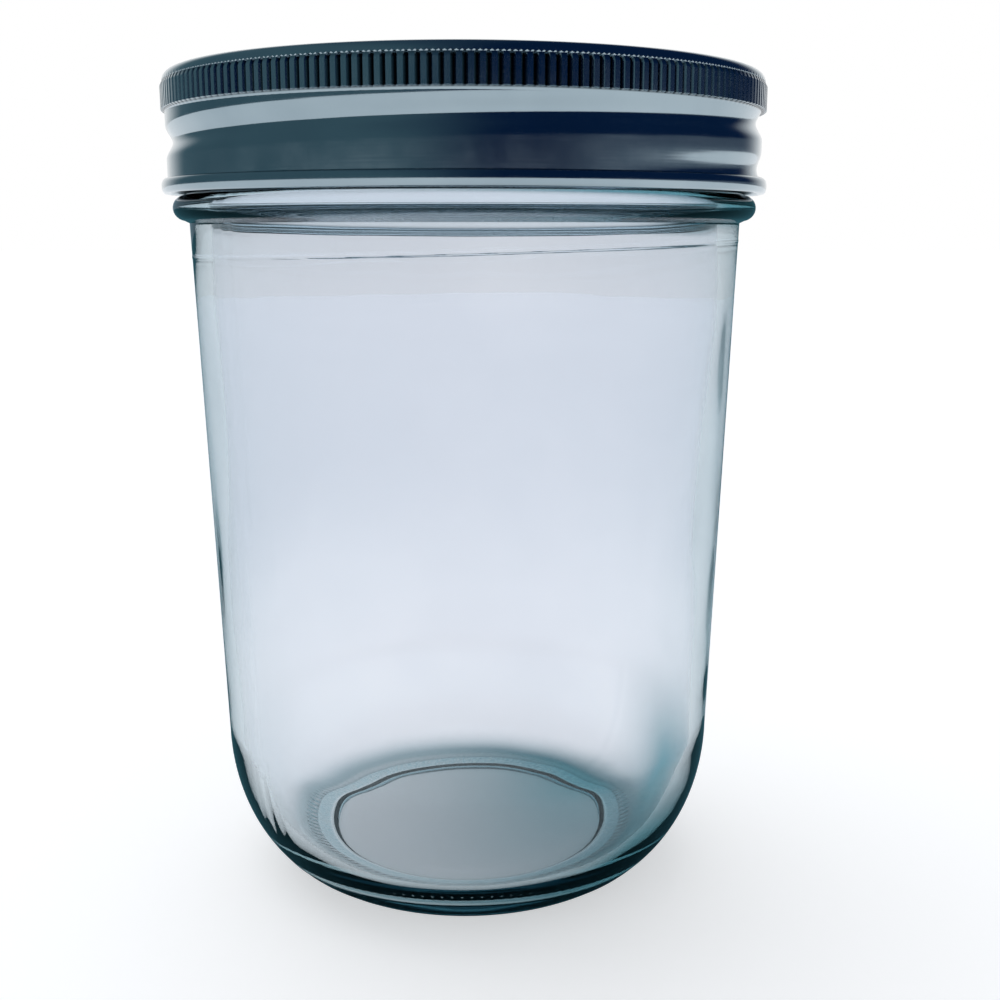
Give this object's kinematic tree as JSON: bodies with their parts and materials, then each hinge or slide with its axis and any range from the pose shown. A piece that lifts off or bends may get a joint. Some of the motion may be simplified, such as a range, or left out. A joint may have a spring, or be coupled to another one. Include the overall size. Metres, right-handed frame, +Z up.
{
  "type": "glass jar with screw closure",
  "caption": "Tapered wide-mouth glass jar with a rounded heel, closed by a flat lid disc with a sealing ring under a knurled metal screw band.",
  "frame": {"origin": "centre of the foot ring, on the surface that the jar stands on", "axes": "+Z up along the jar's axis, -Y towards the picture's viewpoint, +X to its right"},
  "size_m": [0.0898, 0.0898, 0.122],
  "materials": {
    "clear_glass": "clear soda-lime glass, faint green-blue in its thick edges, fire-polished",
    "band_tinplate": "satin lacquered tinplate, slate blue-grey",
    "disc_tinplate": "satin lacquered tinplate",
    "seal_compound": "matt sealing compound"
  },
  "bodies": {
    "jar": {"glass_jar": "clear_glass"},
    "lid": {"lid_disc": "disc_tinplate", "sealing_ring": "seal_compound"},
    "band": {"screw_band": "band_tinplate"}
  },
  "joints": [
    {"name": "lid_lift", "type": "slide", "parent": "jar", "child": "lid", "axis": [0, 0, 1], "range_m": [0, 0.01905]},
    {"name": "band_turn", "type": "hinge", "parent": "lid", "child": "band", "pos_m": [0, 0, 0.1135], "axis": [0, 0, 1], "range_deg": [0, 1080]}
  ],
  "couplings": [
    {"joint": "lid_lift", "follows": "band_turn", "m_per_rad": 0.0010106}
  ]
}
